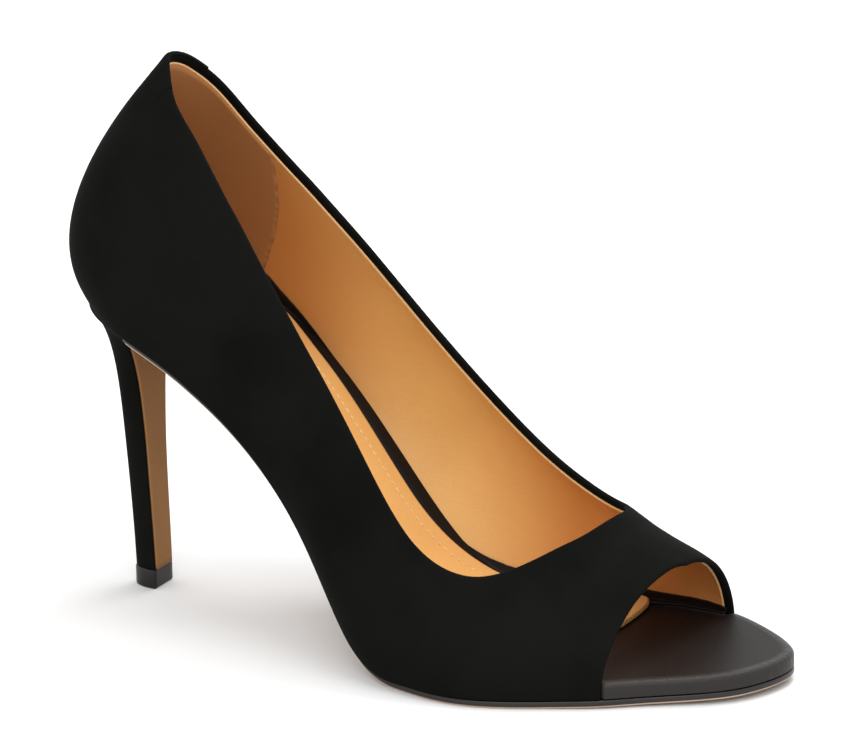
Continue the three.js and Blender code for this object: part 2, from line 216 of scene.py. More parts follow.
def outline(t, inset, lift=0.0):
    t = np.asarray(t, float)
    p = last(t, 0) - sideways(t) * np.broadcast_to(np.asarray(inset, float), t.shape)[..., None]
    p[..., 2] = feather(p[..., 0]) + lift
    return p


sole_low, sole_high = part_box("outsole")
outer_side = np.linspace(0, turn, 4001)[:2000]
outer_reach = outline(outer_side, 0)[:, 1].min()
shift = np.array([sole_high[0] * 1000 - length, sole_low[1] * 1000 - outer_reach, 0])
print("shift in mm:", np.round(shift, 2))

# %% [markdown]
# ## Turning grids of points into pieces
# Each piece is a few grids of points whose borders meet. Blender welds the borders, points the
# faces outwards and keeps the object at the origin, unturned, with its place in its mesh.

# %% Build a piece from grids


def build(name, grids, material, replaces=(), marks=None, weld=2e-6):
    """One closed mesh from grids of points in millimetres."""
    points, faces, values = [], [], []
    start = 0
    for k, g in enumerate(grids):
        n, m = g.shape[:2]
        points.append((g.reshape(-1, 3) + shift) / 1000)
        values.append(np.zeros(n * m) if marks is None else np.broadcast_to(marks[k], (n, m)).reshape(-1))
        i, j = np.meshgrid(np.arange(n - 1), np.arange(m - 1), indexing="ij")
        a = start + (i * m + j).ravel()
        faces.append(np.stack([a, a + 1, a + m + 1, a + m], 1))
        start += n * m
    mesh = bpy.data.meshes.new(name)
    mesh.from_pydata(np.concatenate(points).tolist(), [], np.concatenate(faces).tolist())
    if marks is not None:
        mesh.attributes.new("mark", "FLOAT", "POINT").data.foreach_set("value", np.concatenate(values))
    work = bmesh.new()
    work.from_mesh(mesh)
    bmesh.ops.remove_doubles(work, verts=work.verts, dist=weld)
    bmesh.ops.dissolve_degenerate(work, edges=work.edges, dist=1e-7)
    bmesh.ops.recalc_face_normals(work, faces=work.faces)
    for face in work.faces:
        face.smooth = True
    open_edges = sum(1 for e in work.edges if len(e.link_faces) != 2)
    work.to_mesh(mesh)
    work.free()
    mesh.materials.append(material)
    piece = bpy.data.objects.new(name, mesh)
    bpy.context.scene.collection.objects.link(piece)
    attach(piece, "root")
    if replaces:
        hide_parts(*replaces)
    print(f"{name}: {len(mesh.polygons)} faces, {open_edges} open edges")


# %% [markdown]
# ## Shader maths as plain expressions
# A material is a small formula over the surface. One class wraps a node socket, so `a * b + c`
# builds the Math nodes, and every other node comes from one method.

# %% The formula class


class Value:
    def __init__(self, sheet, socket):
        self.sheet = sheet
        self.socket = socket

    def _math(self, kind, first, second):
        return self.sheet.node("ShaderNodeMath", {"operation": kind}, {0: first, 1: second})

    def __add__(self, other):
        return self._math("ADD", self, other)

    def __radd__(self, other):
        return self._math("ADD", other, self)

    def __sub__(self, other):
        return self._math("SUBTRACT", self, other)

    def __mul__(self, other):
        return self._math("MULTIPLY", self, other)


class Finish:
    """A material and the nodes that describe it."""

    def __init__(self, name, **constants):
        self.material = bpy.data.materials.new(name)
        self.material.use_nodes = True
        self.tree = self.material.node_tree
        self.shader = self.tree.nodes["Principled BSDF"]
        for key, value in constants.items():
            self.shader.inputs[key.replace("_", " ")].default_value = value

    def node(self, kind, settings=None, inputs=None, output=0):
        node = self.tree.nodes.new(kind)
        for key, value in (settings or {}).items():
            setattr(node, key, value)
        for key, value in (inputs or {}).items():
            if isinstance(value, Value):
                self.tree.links.new(value.socket, node.inputs[key])
            else:
                node.inputs[key].default_value = value
        return Value(self, node.outputs[output])

    def place(self):
        return self.node("ShaderNodeTexCoord", output="Object")

    def attribute(self, name):
        return self.node("ShaderNodeAttribute", {"attribute_name": name}, output="Fac")

    def drawn(self, stretch, turned):
        """Places on the object, stretched and turned, for a pattern that runs one way."""
        inputs = {"Vector": self.place(), "Scale": stretch, "Rotation": turned}
        return self.node("ShaderNodeMapping", {}, inputs)

    def noise(self, scale, detail=2.0, rough=0.5, stretch=(1, 1, 1), turned=(0, 0, 0)):
        vector = self.drawn(stretch, turned)
        inputs = {"Vector": vector, "Scale": scale, "Detail": detail, "Roughness": rough}
        return self.node("ShaderNodeTexNoise", {}, inputs, output="Fac")

    def pores(self, scale, stretch=(1, 1, 1), turned=(0, 0, 0)):
        inputs = {"Vector": self.drawn(stretch, turned), "Scale": scale}
        return self.node("ShaderNodeTexVoronoi", {"feature": "F1"}, inputs, output="Distance")

    def between(self, value, low, high):
        """Nought below low and one above high, with a soft step between them."""
        return self.node("ShaderNodeMapRange", {"interpolation_type": "SMOOTHSTEP"},
                         {"Value": value, "From Min": low, "From Max": high})

    def blend(self, share, first, second):
        """Two colours mixed by a share; a colour may be numbers or another mix."""
        node = self.tree.nodes.new("ShaderNodeMix")
        node.data_type = "RGBA"
        for key, value in ((0, share), (6, first), (7, second)):
            if isinstance(value, Value):
                self.tree.links.new(value.socket, node.inputs[key])
            else:
                node.inputs[key].default_value = value if key == 0 else (*value, 1.0)
        return Value(self, node.outputs[2])

    def paint(self, **links):
        for key, value in links.items():
            self.tree.links.new(value.socket, self.shader.inputs[key.replace("_", " ")])

    def bump(self, height, strength, distance):
        self.paint(Normal=self.node("ShaderNodeBump", {}, {"Strength": strength, "Distance": distance,
                                                           "Height": height}, output="Normal"))
        return self.material


print("formula class ready")

# %% [markdown]
# ## The finishes
# Suede drinks light: nearly black, rough, with a trace of sheen where the nap stands against
# the light, and faint clouds where it was brushed. The lining is golden calf with a fine grain;
# toward the throat and the heel it is painted deeper, as painted shade, so its middle stays lighter.
# The platform is smooth dark leather, glossier on its rim, where a painted highlight makes it
# paler, and the heel's tip a hard satin rubber.

# %% Suede, in its cloudy nap


def suede(name, dark, brushed):
    f = Finish(name, Roughness=0.95, Sheen_Weight=0.02, Sheen_Roughness=0.4, Specular_IOR_Level=0.03)
    f.shader.inputs["Sheen Tint"].default_value = (0.5, 0.5, 0.48, 1)
    clouds = f.between(f.noise(28, 3, 0.55), 0.35, 0.68)
    nap = f.noise(1500, 2, 0.7)
    colour = f.blend(clouds * 0.7 + nap * 0.3, dark, brushed)
    f.paint(Base_Color=colour)
    return f.bump(nap + f.noise(420, 2, 0.6) * 0.6, 0.35, 0.00012)


suede_finish = suede("black_suede", (0.0026, 0.0027, 0.0023), (0.0052, 0.0053, 0.0047))
tab_finish = suede("black_suede_tab", (0.0028, 0.0029, 0.0025), (0.0055, 0.0056, 0.005))
print("suede ready")

# %% Golden calf for the lining and the sock
cut_edge = (0.62, 0.38, 0.17)
# Spans of x on the object over which the lining darkens as painted shade, toward the throat and toward the
# heel.
throat_shade_span = (-0.008, 0.034)
heel_shade_span = (-0.014, -0.062)


def calf(name, deep, light, rough, grain=1.0, cut=cut_edge, end_shade=None, gloss=0.35):
    f = Finish(name, Sheen_Weight=0.0, Specular_IOR_Level=gloss)
    tone = f.between(f.noise(22, 3, 0.5), 0.3, 0.72)
    cells = f.pores(1500, (1, 1, 0.7), (0.4, 0.3, 0.6))
    fine = f.noise(2600, 2, 0.6)
    drawn = f.noise(1100, 2, 0.55, (0.16, 1, 1), (0, -0.6, 0))
    face = f.blend(tone * 0.55 + fine * 0.2 + drawn * 0.25, deep, light)
    # Painted shade: toward the throat and the heel the lining takes the deeper end colour; the lighter middle
    # stands for the overhead light.
    if end_shade:
        along = f.node("ShaderNodeSeparateXYZ", {}, {0: f.place()}, output="X")
        ends = f.between(along, *throat_shade_span) + f.between(along, *heel_shade_span)
        face = f.blend(ends, face, end_shade)
    f.paint(Base_Color=f.blend(f.attribute("mark"), face, cut),
            Roughness=rough + cells * 0.12 + tone * 0.06)
    return f.bump(cells * 0.6 + fine * 0.4 + drawn * 1.1, 0.3 * grain, 0.00014)


# The end colour is painted shade at the lining's throat and heel ends.
lining_finish = calf("golden_lining", (0.54, 0.295, 0.090), (0.68, 0.40, 0.138), 0.42,
                     end_shade=(0.44, 0.175, 0.044))
grip_finish = calf("brown_heel_grip", (0.28, 0.116, 0.036), (0.35, 0.156, 0.052), 0.62,
                   grain=0.6, cut=(0.20, 0.08, 0.027))
sock_finish = calf("golden_sock", (0.57, 0.30, 0.090), (0.68, 0.375, 0.128), 0.45,
                   cut=(0.34, 0.17, 0.055))
breast_finish = calf("brown_breast", (0.21, 0.100, 0.036), (0.255, 0.132, 0.056), 0.6,
                     grain=0.5, gloss=0.06)
print("calf ready")

# %% Dark leather of the platform, the sole and the tip
# The platform rim's paler colour is a painted highlight for the light the rim catches.
rim_painted_light = (0.024, 0.0215, 0.020)


def dark_leather(name, deep, light, rough, grain=0.3, pleats=0.0, coat=0.0, gloss=0.5):
    """Smooth leather; where it is pleated, the mark paints the rim paler as a painted highlight, and makes it
    glossier and pleated.
    """
    f = Finish(name, Specular_IOR_Level=gloss)
    fine = f.noise(2200, 2, 0.6)
    face = f.blend(f.between(f.noise(30, 3, 0.5), 0.3, 0.7), deep, light)
    roughness = rough + fine * 0.1
    height = fine * grain
    if pleats:
        rim = f.attribute("mark")
        # Painted highlight: the marked rim, and a band fading over the top, are painted paler.
        face = f.blend(rim, face, rim_painted_light)
        roughness = roughness - rim * 0.12
        height = height + rim * f.noise(620, 2, 0.5, (1, 1, 0.25)) * pleats
    if coat:
        f.shader.inputs["Coat Weight"].default_value = coat
        f.shader.inputs["Coat Roughness"].default_value = 0.18
    f.paint(Base_Color=face, Roughness=roughness)
    return f.bump(height, 0.5, 0.0003)


platform_finish = dark_leather("platform_leather", (0.0046, 0.0030, 0.0025), (0.0070, 0.0050, 0.0043), 0.46,
                               pleats=1.8, gloss=0.12)
sole_finish = dark_leather("sole_edge", (0.0065, 0.005, 0.0045), (0.010, 0.008, 0.0075), 0.34,
                           coat=0.12, gloss=0.35)
tread_finish = dark_leather("sole_tread", (0.34, 0.235, 0.16), (0.42, 0.30, 0.21), 0.55)
tip_finish = dark_leather("heel_tip", (0.0050, 0.0038, 0.0035), (0.007, 0.0052, 0.0048), 0.34,
                          grain=0.15, gloss=0.28)
print("dark leather ready")

# %% [markdown]
# ## Edges on the last
# The collar and the open toe are curves of station and share. To fold suede over them, the
# curve is walked inwards over the surface a few tenths of a millimetre at a time, always at
# right angles to itself, and each step becomes one row of the piece.

# %% The two edges
topline_out = [(4.03, 1), (4.14, 0.81), (4.54, 0.555), (5.6, 0.536), (6.43, 0.534), (7.25, 0.621),
               (8.18, 0.767), (9.17, 0.879), (10, 0.882)]
topline_in = [(4.03, 1), (4.08, 0.86), (4.4, 0.705), (5.43, 0.648), (6.37, 0.609), (7.2, 0.652),
              (8.04, 0.782), (8.95, 0.886), (10, 0.882)]
toe_edge_out = [(2.64, 0), (2.61, 0.3), (2.48, 0.6), (2.22, 0.86), (2.01, 1)]
toe_edge_in = [(2.11, 0), (2.1, 0.3), (2.08, 0.6), (2.04, 0.86), (2.01, 1)]
throat_foot = 3.2
foot_crowding = 0.9
near_ridge = 0.985
collar_count = 150
vamp_rows = 56
vamp_count = 34


def spaced(points, count):
    """A curve of station and share in equal steps of its length on the last."""
    fine = through(points, np.linspace(0, len(points) - 1, 600))
    places = last(fine[:, 0], fine[:, 1])
    reach = np.concatenate([[0], np.cumsum(np.linalg.norm(np.diff(places, axis=0), axis=1))])
    want = np.linspace(0, reach[-1], count + 1)
    return np.stack([np.interp(want, reach, fine[:, k]) for k in (0, 1)], -1)


class Edge:
    """An open edge of the upper, which can be walked inwards over the last."""

    def __init__(self, out, inner, closed):
        mirrored = inner[::-1] * (-1, 1) + (turn, 0)
        self.closed = closed
        self.half = len(out) - 1
        self.start = np.vstack([out, mirrored[1:]])
        self.walked = {0.0: self.start}

    def directions(self, tv):
        """The normal of the surface and the way inwards at each point."""
        p = last(tv[:, 0], tv[:, 1])
        if self.closed:
            run = np.vstack([p[1:], p[1:2]]) - np.vstack([p[-2:-1], p[:-1]])
            run[-1] = run[0]
        else:
            run = np.gradient(p, axis=0)
        n = outward(tv[:, 0], np.maximum(tv[:, 1], 0.001))
        inwards = unit(np.cross(n, unit(run)))
        middle = self.half // 3
        along, up = slopes(tv[:, 0], tv[:, 1])
        wanted = -up if self.closed else along * np.where(tv[:, :1] < back, 1, -1)
        sign = np.sign(np.sum(inwards[middle] * wanted[middle]))
        return n, inwards * sign

    def settle(self, tv):
        """Points that ran over the ridge are taken back, each side spaced up to the ridge again."""
        ridge = tv[self.half, 0]
        sides = []
        for side, t in ((tv[:self.half], ridge), (tv[:self.half:-1], turn - ridge)):
            line = np.vstack([side[side[:, 1] < near_ridge], [(t, 1.0)]])
            place = np.linspace(0, len(line) - 1, self.half + 1)
            steps = np.arange(len(line))
            sides.append(np.stack([np.interp(place, steps, line[:, k]) for k in (0, 1)], -1))
        return np.vstack([sides[0], sides[1][-2::-1]])

    def at(self, distance):
        """Station and share of the edge after it was walked inwards by a distance."""
        distance = round(float(distance), 3)
        if distance not in self.walked:
            nearest = max(d for d in self.walked if d < distance)
            tv = self.walked[nearest].copy()
            steps = max(1, math.ceil((distance - nearest) / 0.5))
            for _ in range(steps):
                along, up = slopes(tv[:, 0], tv[:, 1])
                inwards = self.directions(tv)[1] * (distance - nearest) / steps
                a, b, c = (np.sum(x * y, -1) for x, y in ((along, along), (along, up), (up, up)))
                p, q = np.sum(along * inwards, -1), np.sum(up * inwards, -1)
                span = a * c - b * b
                tv = tv + np.stack([(c * p - b * q) / span, (a * q - b * p) / span], -1)
                tv[:, 1] = np.clip(tv[:, 1], 0, 1)
                if self.closed:
                    tv[0, 1] = tv[-1, 1] = 1
                    tv[-1, 0] = turn - tv[0, 0]
                else:
                    tv[0, 1] = tv[-1, 1] = 0
                    tv = self.settle(tv)
            self.walked[distance] = tv
        return self.walked[distance]


collar = Edge(spaced(topline_out, collar_count), spaced(topline_in, collar_count), True)
toe = Edge(spaced(toe_edge_out, vamp_rows), spaced(toe_edge_in, vamp_rows), False)
for d in (0.8, 2.4, 5.0):
    moved = last(*collar.at(d).T) - last(*collar.at(0).T)
    print("collar walked", d, "mm:", np.round(np.linalg.norm(moved, axis=1)[[0, 40, 150, 260]], 2))

# %% [markdown]
# ## A folded shell
# Suede and lining are both thin shells on the last. A half round joins the outer and inner face
# along each open edge, which is what a skived and folded edge looks like.

# %% The shell function
band = 6.0
arc_steps = 7


def along_edges(edge, start, depth, thickness):
    """Rows from the band's inner border outside, round the fold, to the band inside."""
    radius = thickness / 2
    reach = [band, 4.6, 3.4, 2.6, 2.0, 1.5]
    rows_out = [d for d in reach if d > start + radius + 0.2] + [start + radius]
    grid = [under(*edge.at(d).T, depth) for d in rows_out]
    tv = edge.at(start + radius)
    n, inwards = edge.directions(tv)
    centre = last(tv[:, 0], tv[:, 1]) - n * (depth + radius)
    for a in np.linspace(0, math.pi, arc_steps + 2)[1:-1]:
        grid.append(centre + radius * (math.cos(a) * n - math.sin(a) * inwards))
    for d in rows_out[::-1]:
        grid.append(under(*edge.at(d).T, depth + thickness))
    return np.array(grid)


def fold_marks(grid):
    """One on the round of a fold, nought on its two faces."""
    rows = len(grid)
    flat = (rows - arc_steps) // 2
    row = np.zeros(rows)
    row[flat + 1:rows - flat - 1] = 1
    return row[:, None]


def wall_places(inset):
    """Station and share of the shell inside the bands: collar walls, then the vamp's two halves."""
    top = collar.at(inset)
    share = np.linspace(0, 1, vamp_rows + 1)
    index = np.arange(len(top))
    half = collar.half
    reach = np.where(index <= half, index / half, (2 * half - index) / half)
    foot = throat_foot + (back - throat_foot) * reach ** foot_crowding
    foot = np.where(index <= half, foot, turn - foot)
    t = foot[None, :] + (top[:, 0] - foot)[None, :] * share[:, None]
    v = top[:, 1][None, :] * share[:, None]
    walls = np.stack([t, v], -1)
    halves = []
    rim = toe.at(inset)
    inner_rim = rim[toe.half:][::-1].copy()
    inner_rim[-1, 0] = turn - inner_rim[-1, 0]
    for front, behind in ((rim[:toe.half + 1], walls[:, 0]), (inner_rim, walls[:, -1])):
        mix = np.linspace(0, 1, vamp_count + 1)[:, None, None]
        halves.append(front[None] * (1 - mix) + behind[None] * mix)
    return walls, halves


def shell(start, depth, thickness):
    """Grids of a closed shell between two depths under the last, and the marks of its folds."""
    grids = [along_edges(edge, start, depth, thickness) for edge in (collar, toe)]
    marks = [fold_marks(grid) for grid in grids]
    walls, halves = wall_places(band)
    for places in (walls, *halves):
        grids += [under(places[..., 0], places[..., 1], d) for d in (depth, depth + thickness)]
    feet = [np.array([grids[2][0], grids[3][0]])]
    for k in (4, 6):
        feet.append(np.array([grids[k][:, 0], grids[k + 1][:, 0]]))
    for end in (0, -1):
        section = grids[1][:, end]
        half = len(section) // 2
        feet.append(np.array([section[:half + 1], section[::-1][:half + 1]]))
    return grids + feet, marks + [0.0] * (len(grids) + len(feet) - 2)


suede_thickness = 1.6
build("upper_suede", shell(0.0, 0.0, suede_thickness)[0], suede_finish, ("upper",), weld=4e-6)

# %% The lining and its pale cut edge
lining_start = 2.3
lining_depth = suede_thickness + 0.05
lining_thickness = 0.7
lining_grids, lining_marks = shell(lining_start, lining_depth, lining_thickness)
build("upper_lining", lining_grids, lining_finish, (), lining_marks, weld=4e-6)
lining_face = lining_depth + lining_thickness

# %% [markdown]
# ## Boards under the foot
# The platform, the sock and the sole are flat goods: an outline in plan, bent along the line
# under the foot, with edges that are rounded by sanding or by the leather wrapped over them.

# %% The board function


def smooth(x, low, high):
    f = np.clip((np.asarray(x, float) - low) / (high - low), 0, 1)
    return f * f * (3 - 2 * f)


def level_inset(loop, inset):
    """A closed plan loop moved inwards by a distance."""
    run = np.roll(loop, -1, 0) - np.roll(loop, 1, 0)
    run[:, 2] = 0
    run = unit(run)
    side = np.stack([-run[:, 1], run[:, 0], 0 * run[:, 0]], -1)
    area = np.sum(loop[:, 0] * np.roll(loop[:, 1], -1) - loop[:, 1] * np.roll(loop[:, 0], -1))
    return loop + side * inset * np.sign(area)


def filled(left, right, cells):
    """A face between two lines of points, with a number of cells across."""
    mix = np.linspace(0, 1, cells + 1)[None, :, None]
    return left[:, None] * (1 - mix) + right[:, None] * mix


def closed(faces):
    """Grids of a slab: its two outer faces, and four narrow sides that run through all the faces."""
    ends = [np.array([face[k] for face in faces]) for k in (0, -1)]
    sides = [np.array([face[:, k] for face in faces]) for k in (0, -1)]
    return [faces[0], faces[-1]] + ends + sides


def steady(height):
    """A lift that is the same all along the shoe."""
    return lambda x: 0 * x + height


def board(loop_at, bottom, top, edge_radius, cells=24, low_radius=0.25, fade=0.25):
    """Grids of a board: loop_at(inset) is its plan; pairs of the loop's points span its faces."""
    profile = []
    for a in np.linspace(0, math.pi / 2, 4):
        profile.append((low_radius * (1 - math.sin(a)), bottom, low_radius * (1 - math.cos(a)), 1.0))
    for a in np.linspace(0, math.pi / 2, 7):
        profile.append((edge_radius * (1 - math.cos(a)), top, -edge_radius * (1 - math.sin(a)), 1.0))
    profile.append((edge_radius + fade, top, 0, 0.0))
    wall, marks = [], []
    for inset, lift, extra, mark in profile:
        p = loop_at(inset).copy()
        x = p[:, 0]
        p[:, 2] = feather(x) + lift(x) + extra
        wall.append(np.vstack([p, p[:1]]))
        marks.append(mark)
    grids = [np.array(wall)]
    for row, lift in ((wall[0], bottom), (wall[-1], top)):
        p = row[:-1]
        half = len(p) // 2
        face = filled(p[:half + 1], np.vstack([p[:1], p[:half - 1:-1]]), cells)
        face[..., 2] = feather(face[..., 0]) + lift(face[..., 0])
        grids.append(face)
    return grids, [np.array(marks)[:, None], 0.0, 0.0]


insole_thickness = 3.2
platform_thickness = 4.4
platform_start = 0.70 * length
platform_end = 0.80 * length
lining_clear = 2.6


def board_top(x):
    rise = platform_thickness - insole_thickness
    return insole_thickness + rise * smooth(x, platform_start, platform_end)


half_stops = np.unique(np.concatenate([
    np.linspace(0, 1, 30) ** 1.4, np.linspace(1, 2.0, 14), np.linspace(2.0, 2.75, 22),
    np.linspace(2.75, 8, 120), np.linspace(8, 10, 40)]))
loop_stops = np.concatenate([half_stops, turn - half_stops[-2:0:-1]])


def platform_loop(inset):
    """The platform's outline; behind the toe edge of the upper it steps in to clear the lining."""
    out, inner = (smooth(stops, edge[0][0] - 0.05, edge[0][0] + 0.01)
                  for stops, edge in ((loop_stops, toe_edge_out), (turn - loop_stops, toe_edge_in)))
    tucked = np.where(loop_stops <= back, out, inner) * lining_clear
    return outline(loop_stops, inset + tucked)


platform_grids, platform_marks = board(platform_loop, steady(0), board_top, 1.5, fade=2.0)
build("toe_platform", platform_grids, platform_finish, ("insole",), platform_marks)

# %% The sole: a polished edge over a pale tread
breast_place = 27
sole_under_heel = 0.8
waist_inset = 1.4
waist_stations = (3.6, 5.2)
seat_to_waist = np.linspace(10, 5, 2000)


def sole_loop(inset):
    rear = np.interp(breast_place - sole_under_heel, outline(seat_to_waist, 0)[:, 0], seat_to_waist)
    stops = np.unique(np.concatenate([np.linspace(0, 1, 30) ** 1.4, np.linspace(1, 2.8, 40),
                                      np.linspace(2.8, rear, 120)]))
    tucked = waist_inset * smooth(stops, *waist_stations)
    left, right = (outline(t, inset + tucked) for t in (stops, turn - stops))
    left[-1, 0] += inset
    right[-1, 0] += inset
    return np.vstack([left, (left[-1:] + right[-1:]) / 2, right[-1:0:-1]])


edge_height = 1.5
tread_inset = 0.35
sole_grids, sole_marks = board(sole_loop, steady(-gap - edge_height), steady(-gap), 0.3)
build("sole_edge", sole_grids, sole_finish, ("outsole",), sole_marks)
tread_grids, tread_marks = board(lambda d: sole_loop(d + tread_inset), steady(-gap - sole_thickness),
                                 steady(-gap - edge_height), 0.1, low_radius=0.15)
build("sole_tread", tread_grids, tread_finish, (), tread_marks)

# %% [markdown]
# ## The sock
# The golden sock is glued over the platform board. Its front is a broad nose under the vamp,
# which reaches a little further forward on the inner side.

# %% Its outline and its body
sock_inset = 2.0 + 0.5 + 3.6
sock_length = 160
nose_length = 14
nose_slant = 0.09
sock_thickness = 1.2
front_spread, front_widens = 3.5, (88, 110)
seat_spread, seat_narrows = 3.0, (42, 62)
nose_power_outer, nose_power_inner = 3, 5


def sock_outline():
    stops = np.linspace(2, 10, 900)
    sides = []
    for t in (stops, turn - stops):
        x = last(t, 0)[:, 0]
        front, seat = smooth(x, *front_widens), 1 - smooth(x, *seat_narrows)
        sides.append(outline(t, sock_inset - front_spread * front - seat_spread * seat))
    a, b = sides
    keep = a[:, 0] <= sock_length - nose_length
    a, b = a[keep], b[keep]
    nose = []
    for f in np.linspace(1, 0, 40)[:-1]:
        mid = (a[0] + b[0]) / 2
        pair = []
        for side, power in ((a[0], nose_power_outer), (b[0], nose_power_inner)):
            p = mid + (side - mid) * math.sqrt(1 - f ** power)
            p[0] = side[0] + (sock_length - side[0]) * f + nose_slant * (p[1] - mid[1]) * math.sqrt(f)
            pair.append(p)
        nose.append(pair)
    left = np.vstack([[p[0] for p in nose], a])
    right = np.vstack([[p[1] for p in nose], b])
    pick = np.unique(np.concatenate([np.arange(0, 40), np.arange(40, len(left), 5), [len(left) - 1]]))
    left, right = left[pick], right[pick]
    return np.vstack([left, right[-2:0:-1]])


def sock_lift(x):
    return board_top(x) + gap


def sock_face(x):
    return sock_lift(x) + sock_thickness


sock_base = sock_outline()
sock_grids, sock_marks = board(lambda d: level_inset(sock_base, d), sock_lift, sock_face, 0.4)
build("sock_leather", sock_grids, sock_finish, ("sock",), sock_marks)

# %% [markdown]
# ## The dark strip beside the sock
# Between the lining's lower edge and the sock a strip of the board's dark leather shows. It is
# turned up against the wall: low at the ball, higher in the arch and under the vamp. A cobbler
# skives it thin and pastes it over the board before the sock goes in.

# %% The strip
strip_heights = np.array([
    (2.0, 6.1), (2.65, 7.0), (2.95, 7.1), (3.4, 6.5), (4.8, 6.5), (5.03, 6.0), (5.22, 4.8),
    (5.39, 3.5), (5.52, 2.8), (5.8, 2.4), (6.1, 3.3), (6.46, 3.4), (6.59, 3.9), (6.73, 4.9),
    (6.91, 6.2), (7.09, 7.4), (7.27, 9.4), (7.6, 10.2), (10, 10.5)])
strip_sheet = 0.5
wall_clear = 0.04
board_clear = 0.06
knee_share = 0.62
hidden_toe, hidden_more = 3.9, 3.2


def on_wall(t, height, depth):
    """Share of the way up at which the inner face stands at a height over the feather line."""
    v = np.linspace(0, 0.6, 240)
    shape = np.broadcast_shapes(np.shape(t), np.shape(height))
    tt, hh = (np.broadcast_to(a, shape).ravel() for a in (t, height))
    found = []
    for station, h in zip(tt, hh):
        rise = under(station, v, depth)[:, 2] - feather(last(station, 0.0)[0])
        found.append(np.interp(h, rise, v))
    return np.array(found).reshape(shape)


def wall_strip(inner):
    start = (toe_edge_in if inner else toe_edge_out)[0][0] + 0.05
    stops = np.concatenate([np.linspace(start, 3.2, 14)[:-1], np.linspace(3.2, 10, 90)])
    t = turn - stops if inner else stops
    depth = lining_face + wall_clear
    top_height = np.interp(stops, strip_heights[:, 0], strip_heights[:, 1])
    floor_lift = board_top(last(t, 0)[:, 0]) + board_clear
    under_sock = hidden_toe + hidden_more * smooth(stops, 3.0, 3.8)
    corner_v = on_wall(t, floor_lift, depth)
    corner_point = under(t, corner_v, depth)
    foot = outline(t, under_sock, floor_lift)
    knee = foot + (corner_point - foot) * knee_share
    rows = [foot, knee]
    rise_v = on_wall(t, floor_lift + np.maximum(0.1, (top_height - floor_lift) * 0.3), depth)
    bend = under(t, rise_v, depth)
    for f in (0.25, 0.5, 0.75):
        rows.append(knee * (1 - f) ** 2 + corner_point * 2 * f * (1 - f) + bend * f * f)
    rows.append(bend)
    top_v = on_wall(t, np.maximum(top_height, floor_lift + 0.3), depth)
    for f in (0.35, 0.7, 0.92, 1.0):
        rows.append(under(t, rise_v + (top_v - rise_v) * f, depth))
    return np.array(rows)


def thick(sheet, thickness, flip=False):
    """A sheet of points as a closed slab: two faces and four narrow sides."""
    n = unit(np.cross(np.gradient(sheet, axis=0), np.gradient(sheet, axis=1)))
    return closed([sheet, sheet + (-n if flip else n) * thickness])


strip_out, strip_in = wall_strip(False), wall_strip(True)
loop_sheet = np.concatenate([strip_out, strip_in[:, -2::-1]], 1)
probe = np.cross(loop_sheet[1, 40] - loop_sheet[0, 40], loop_sheet[0, 41] - loop_sheet[0, 40])
build("board_strip", thick(loop_sheet, strip_sheet, probe[2] < 0), platform_finish)

# %% [markdown]
# ## The heel grip
# Over the lining at the back lies a second piece of matt brown leather, which keeps the heel from
# slipping. Its front edge is a shallow curve, skived thin, and its top is caught under the fold.

# %% The grip
grip_front = np.array([(0.05, 7.36), (0.2, 7.30), (0.33, 7.28), (0.45, 7.33),
                       (0.55, 7.43), (0.69, 7.59), (0.82, 7.74)])
grip_sheet = 0.25
grip_foot = 0.06


def grip():
    rim = collar.at(lining_start + 0.5)
    rows = []
    for share in np.linspace(0, 1, 40):
        ends = []
        for mirror in (False, True):
            v = share * 0.7
            for _ in range(12):
                t = np.interp(v, grip_front[:, 0], grip_front[:, 1])
                high = np.interp(turn - t if mirror else t, rim[:, 0], rim[:, 1])
                v = grip_foot + (high - grip_foot) * share
            ends.append(turn - t if mirror else t)
        t = np.linspace(ends[0], ends[1], 90)
        high = np.interp(t, rim[:, 0], rim[:, 1])
        rows.append(np.stack([t, grip_foot + (high - grip_foot) * share], -1))
    return np.array(rows)


grip_places = grip()
grip_faces = [under(grip_places[..., 0], grip_places[..., 1], lining_face + d)
              for d in (-0.12, grip_sheet)]
grip_marks = [0.0, 0.0, 0.0, 0.0, 1.0, 1.0]
build("heel_grip", closed(grip_faces), grip_finish, (), grip_marks)
